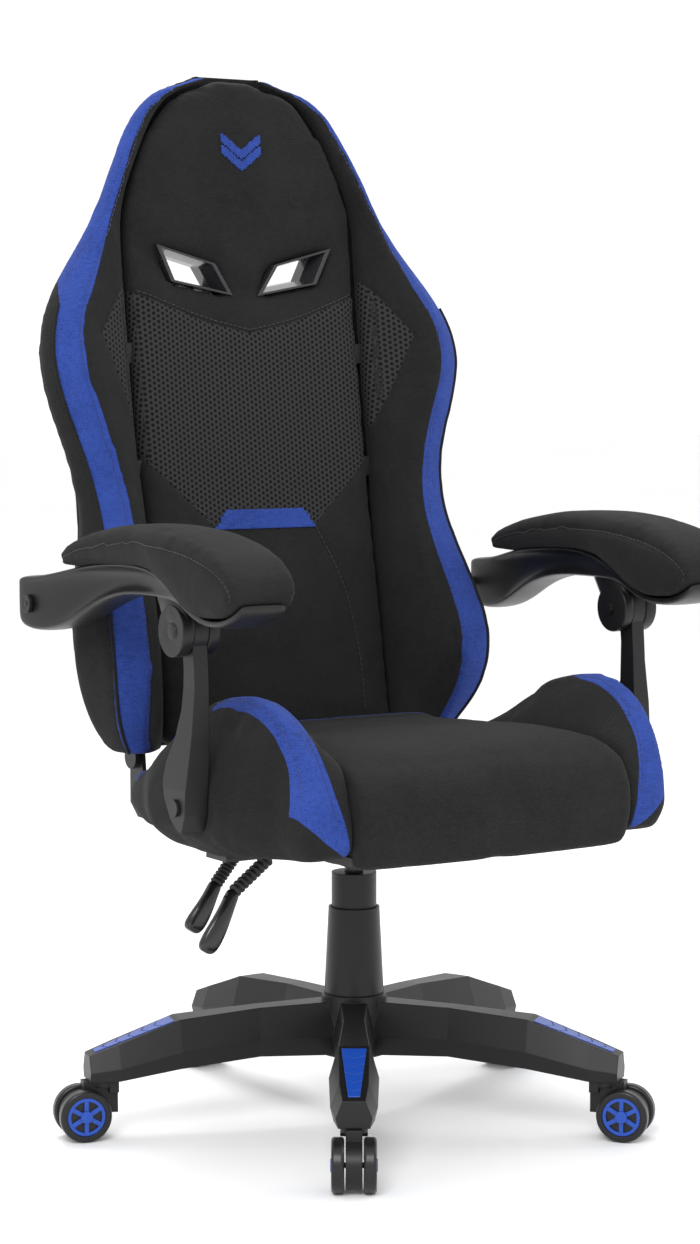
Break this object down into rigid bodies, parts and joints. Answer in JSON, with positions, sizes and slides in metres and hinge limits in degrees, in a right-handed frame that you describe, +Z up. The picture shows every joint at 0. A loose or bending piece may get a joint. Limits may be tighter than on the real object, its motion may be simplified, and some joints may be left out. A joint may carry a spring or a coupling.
{
  "type": "gaming chair",
  "caption": "High-backed gaming chair with winged seat, side bolsters, head vents, arms linked to the reclining back, gas lift and a five-star caster base",
  "frame": {"origin": "on the floor, on the axis of the gas lift", "axes": "+Z up; the chair faces -Y; +X is the sitter's left"},
  "size_m": [0.6928, 0.673, 1.238],
  "materials": {
    "woven_black": "black woven polyester upholstery over foam, matt with a fine cross weave",
    "woven_blue": "royal blue woven polyester, sewn in strips with top stitching",
    "black_plastic": "black moulded nylon with a fine satin grain",
    "blue_plastic": "blue moulded plastic, smooth satin gloss",
    "bezel_plastic": "dark grey moulded plastic with a soft gloss",
    "wheel_plastic": "black nylon wheel, satin with a scuffed tread",
    "black_steel": "black powder-coated steel",
    "lift_chrome": "ground and chromed steel rod",
    "bellows_rubber": "black flexible rubber",
    "board_wood": "raw pressed plywood"
  },
  "bodies": {
    "base": {"base_star": "black_plastic", "leg_inlays": "blue_plastic", "lift_tube": "black_steel", "lower_cover": "black_plastic", "caster_stems": "black_steel"},
    "lift": {"lift_rod": "lift_chrome", "upper_cover": "black_plastic"},
    "seat": {"swivel_plate": "black_steel", "seat_board": "board_wood", "seat_cushion": "woven_black", "seat_wing_left": "woven_black", "seat_wing_right": "woven_black", "seat_trim": "woven_blue", "side_fittings": "black_steel"},
    "height_lever": {"height_lever_rod": "black_steel", "height_lever_bellows": "bellows_rubber", "height_lever_grip": "black_plastic"},
    "recline_lever": {"recline_lever_rod": "black_steel", "recline_lever_bellows": "bellows_rubber", "recline_lever_grip": "black_plastic"},
    "back": {"back_frame": "black_steel", "back_shell": "woven_black", "back_cushion": "woven_black", "back_bolster_left": "woven_black", "back_bolster_right": "woven_black", "back_trim": "woven_blue", "vent_bezels": "bezel_plastic"},
    "strut_left": {"arm_strut_left": "black_plastic"},
    "arm_left": {"arm_beam_left": "black_plastic", "arm_pad_left": "woven_black"},
    "strut_right": {"arm_strut_right": "black_plastic"},
    "arm_right": {"arm_beam_right": "black_plastic", "arm_pad_right": "woven_black"},
    "caster_1": {"caster_1_fork": "black_plastic"},
    "caster_1_wheel_a": {"caster_1_wheel_a": "wheel_plastic", "caster_1_hub_cap_a": "blue_plastic"},
    "caster_1_wheel_b": {"caster_1_wheel_b": "wheel_plastic", "caster_1_hub_cap_b": "blue_plastic"},
    "caster_2": {"caster_2_fork": "black_plastic"},
    "caster_2_wheel_a": {"caster_2_wheel_a": "wheel_plastic", "caster_2_hub_cap_a": "blue_plastic"},
    "caster_2_wheel_b": {"caster_2_wheel_b": "wheel_plastic", "caster_2_hub_cap_b": "blue_plastic"},
    "caster_3": {"caster_3_fork": "black_plastic"},
    "caster_3_wheel_a": {"caster_3_wheel_a": "wheel_plastic", "caster_3_hub_cap_a": "blue_plastic"},
    "caster_3_wheel_b": {"caster_3_wheel_b": "wheel_plastic", "caster_3_hub_cap_b": "blue_plastic"},
    "caster_4": {"caster_4_fork": "black_plastic"},
    "caster_4_wheel_a": {"caster_4_wheel_a": "wheel_plastic", "caster_4_hub_cap_a": "blue_plastic"},
    "caster_4_wheel_b": {"caster_4_wheel_b": "wheel_plastic", "caster_4_hub_cap_b": "blue_plastic"},
    "caster_5": {"caster_5_fork": "black_plastic"},
    "caster_5_wheel_a": {"caster_5_wheel_a": "wheel_plastic", "caster_5_hub_cap_a": "blue_plastic"},
    "caster_5_wheel_b": {"caster_5_wheel_b": "wheel_plastic", "caster_5_hub_cap_b": "blue_plastic"}
  },
  "joints": [
    {"name": "height_travel", "type": "slide", "parent": "base", "child": "lift", "axis": [0, 0, 1], "range_m": [-0.038, 0.052]},
    {"name": "seat_swivel", "type": "hinge", "parent": "lift", "child": "seat", "pos_m": [0, 0, 0.3], "axis": [0, 0, 1], "continuous": true},
    {"name": "height_lever_pivot", "type": "hinge", "parent": "seat", "child": "height_lever", "pos_m": [-0.031, 0.034, 0.328], "axis": [0, 1, 0], "range_deg": [0, 5], "stiffness_Nm_per_rad": 4, "springref_deg": -5.73},
    {"name": "recline_lever_pivot", "type": "hinge", "parent": "seat", "child": "recline_lever", "pos_m": [-0.031, -0.02, 0.328], "axis": [0, 1, 0], "range_deg": [0, 5], "stiffness_Nm_per_rad": 4, "springref_deg": -5.73},
    {"name": "recline", "type": "hinge", "parent": "seat", "child": "back", "pos_m": [0, 0.1885, 0.4208], "axis": [-1, 0, 0], "range_deg": [0, 37]},
    {"name": "strut_left_pivot", "type": "hinge", "parent": "seat", "child": "strut_left", "pos_m": [0, -0.137, 0.4095], "axis": [-1, 0, 0], "range_deg": [0, 37]},
    {"name": "arm_left_pivot", "type": "hinge", "parent": "strut_left", "child": "arm_left", "pos_m": [0, -0.1355, 0.6007], "axis": [-1, 0, 0], "range_deg": [-37, 0]},
    {"name": "strut_right_pivot", "type": "hinge", "parent": "seat", "child": "strut_right", "pos_m": [0, -0.137, 0.4095], "axis": [-1, 0, 0], "range_deg": [0, 37]},
    {"name": "arm_right_pivot", "type": "hinge", "parent": "strut_right", "child": "arm_right", "pos_m": [0, -0.1355, 0.6007], "axis": [-1, 0, 0], "range_deg": [-37, 0]},
    {"name": "caster_1_swivel", "type": "hinge", "parent": "base", "child": "caster_1", "pos_m": [-0.16191, -0.25611, 0.06], "axis": [0, 0, 1], "continuous": true},
    {"name": "caster_1_wheel_a_spin", "type": "hinge", "parent": "caster_1", "child": "caster_1_wheel_a", "pos_m": [-0.17527, -0.27725, 0.03], "axis": [0.8453, -0.5344, 0], "continuous": true},
    {"name": "caster_1_wheel_b_spin", "type": "hinge", "parent": "caster_1", "child": "caster_1_wheel_b", "pos_m": [-0.17527, -0.27725, 0.03], "axis": [0.8453, -0.5344, 0], "continuous": true},
    {"name": "caster_2_swivel", "type": "hinge", "parent": "base", "child": "caster_2", "pos_m": [0.19355, -0.23313, 0.06], "axis": [0, 0, 1], "continuous": true},
    {"name": "caster_2_wheel_a_spin", "type": "hinge", "parent": "caster_2", "child": "caster_2_wheel_a", "pos_m": [0.20952, -0.25236, 0.03], "axis": [0.7694, 0.6388, 0], "continuous": true},
    {"name": "caster_2_wheel_b_spin", "type": "hinge", "parent": "caster_2", "child": "caster_2_wheel_b", "pos_m": [0.20952, -0.25236, 0.03], "axis": [0.7694, 0.6388, 0], "continuous": true},
    {"name": "caster_3_swivel", "type": "hinge", "parent": "base", "child": "caster_3", "pos_m": [0.28153, 0.11203, 0.06], "axis": [0, 0, 1], "continuous": true},
    {"name": "caster_3_wheel_a_spin", "type": "hinge", "parent": "caster_3", "child": "caster_3_wheel_a", "pos_m": [0.30475, 0.12128, 0.03], "axis": [-0.3697, 0.9291, 0], "continuous": true},
    {"name": "caster_3_wheel_b_spin", "type": "hinge", "parent": "caster_3", "child": "caster_3_wheel_b", "pos_m": [0.30475, 0.12128, 0.03], "axis": [-0.3697, 0.9291, 0], "continuous": true},
    {"name": "caster_4_swivel", "type": "hinge", "parent": "base", "child": "caster_4", "pos_m": [-0.01955, 0.30237, 0.06], "axis": [0, 0, 1], "continuous": true},
    {"name": "caster_4_wheel_a_spin", "type": "hinge", "parent": "caster_4", "child": "caster_4_wheel_a", "pos_m": [-0.02117, 0.32732, 0.03], "axis": [-0.9979, -0.0645, 0], "continuous": true},
    {"name": "caster_4_wheel_b_spin", "type": "hinge", "parent": "caster_4", "child": "caster_4_wheel_b", "pos_m": [-0.02117, 0.32732, 0.03], "axis": [-0.9979, -0.0645, 0], "continuous": true},
    {"name": "caster_5_swivel", "type": "hinge", "parent": "base", "child": "caster_5", "pos_m": [-0.29361, 0.07484, 0.06], "axis": [0, 0, 1], "continuous": true},
    {"name": "caster_5_wheel_a_spin", "type": "hinge", "parent": "caster_5", "child": "caster_5_wheel_a", "pos_m": [-0.31784, 0.08102, 0.03], "axis": [-0.247, -0.969, 0], "continuous": true},
    {"name": "caster_5_wheel_b_spin", "type": "hinge", "parent": "caster_5", "child": "caster_5_wheel_b", "pos_m": [-0.31784, 0.08102, 0.03], "axis": [-0.247, -0.969, 0], "continuous": true}
  ],
  "couplings": [
    {"joint": "strut_left_pivot", "follows": "recline", "ratio": 1},
    {"joint": "arm_left_pivot", "follows": "recline", "ratio": -1},
    {"joint": "strut_right_pivot", "follows": "recline", "ratio": 1},
    {"joint": "arm_right_pivot", "follows": "recline", "ratio": -1}
  ]
}
